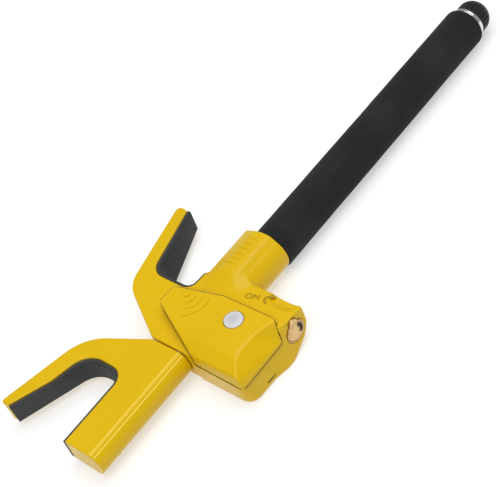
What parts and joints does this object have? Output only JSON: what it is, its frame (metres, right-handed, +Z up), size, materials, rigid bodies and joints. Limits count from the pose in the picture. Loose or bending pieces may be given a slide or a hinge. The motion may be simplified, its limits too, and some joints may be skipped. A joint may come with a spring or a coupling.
{
  "type": "steering wheel lock",
  "caption": "Telescopic bar lock with opposed rubber-lined hooks, an alarm head with a push button and side key lock, a foam grip and a ribbed end cap.",
  "frame": {"origin": "on the flat underside of the head, straight below the axis of the bar", "axes": "+X along the bar from the sliding hook to the end cap, +Y towards the arms of the hooks, +Z up, with the lock lying on the ground"},
  "size_m": [0.5546, 0.1715, 0.044],
  "materials": {
    "yellow_shell": "glossy yellow moulded plastic",
    "mouth_rubber": "matt black rubber",
    "grip_foam": "matt black foam sleeve",
    "black_plastic": "satin black plastic",
    "bright_ring": "polished chrome",
    "steel": "zinc plated steel",
    "brass": "satin brass",
    "lens": "milky translucent plastic",
    "board": "green fibreglass board",
    "cells": "wrapped steel cell"
  },
  "bodies": {
    "head": {"alarm_cover": "yellow_shell", "battery_1": "cells", "battery_2": "cells", "battery_door": "yellow_shell", "board_switch": "black_plastic", "chrome_ring": "bright_ring", "circuit_board": "board", "cover_screw_1": "steel", "cover_screw_2": "steel", "cover_screw_3": "steel", "door_screw": "steel", "end_cap": "black_plastic", "fixed_hook_core": "steel", "fixed_hook_liner": "mouth_rubber", "foam_grip": "grip_foam", "guide_bush": "brass", "head_housing": "yellow_shell", "hook_screw_1": "steel", "hook_screw_2": "steel", "hook_screw_3": "steel", "lock_barrel": "brass", "siren": "black_plastic", "steel_tube": "steel", "stop_sleeve": "brass"},
    "hook": {"jaw_shell": "yellow_shell", "jaw_core": "steel", "jaw_liner": "mouth_rubber", "notched_rod": "steel", "jaw_pin": "steel", "rod_stop_ring": "brass", "jaw_screw_1": "steel", "jaw_screw_2": "steel", "jaw_screw_3": "steel"},
    "plug": {"lock_plug": "brass"},
    "pawl": {"lock_pawl": "steel"},
    "button": {"alarm_button": "lens"}
  },
  "joints": [
    {"name": "hook_slide", "type": "slide", "parent": "head", "child": "hook", "axis": [-1, 0, 0], "range_m": [0, 0.204]},
    {"name": "plug_turn", "type": "hinge", "parent": "head", "child": "plug", "pos_m": [0.049, -0.0708, 0.02], "axis": [0, 1, 0], "range_deg": [0, 90]},
    {"name": "pawl_slide", "type": "slide", "parent": "head", "child": "pawl", "axis": [0, 1, 0], "range_m": [0, 0.0025]},
    {"name": "button_press", "type": "slide", "parent": "head", "child": "button", "axis": [0, 0, -1], "range_m": [0, 0.001], "stiffness_N_per_m": 1500, "springref_m": -0.0005}
  ],
  "couplings": [
    {"joint": "pawl_slide", "follows": "plug_turn", "m_per_rad": 0.00159}
  ]
}
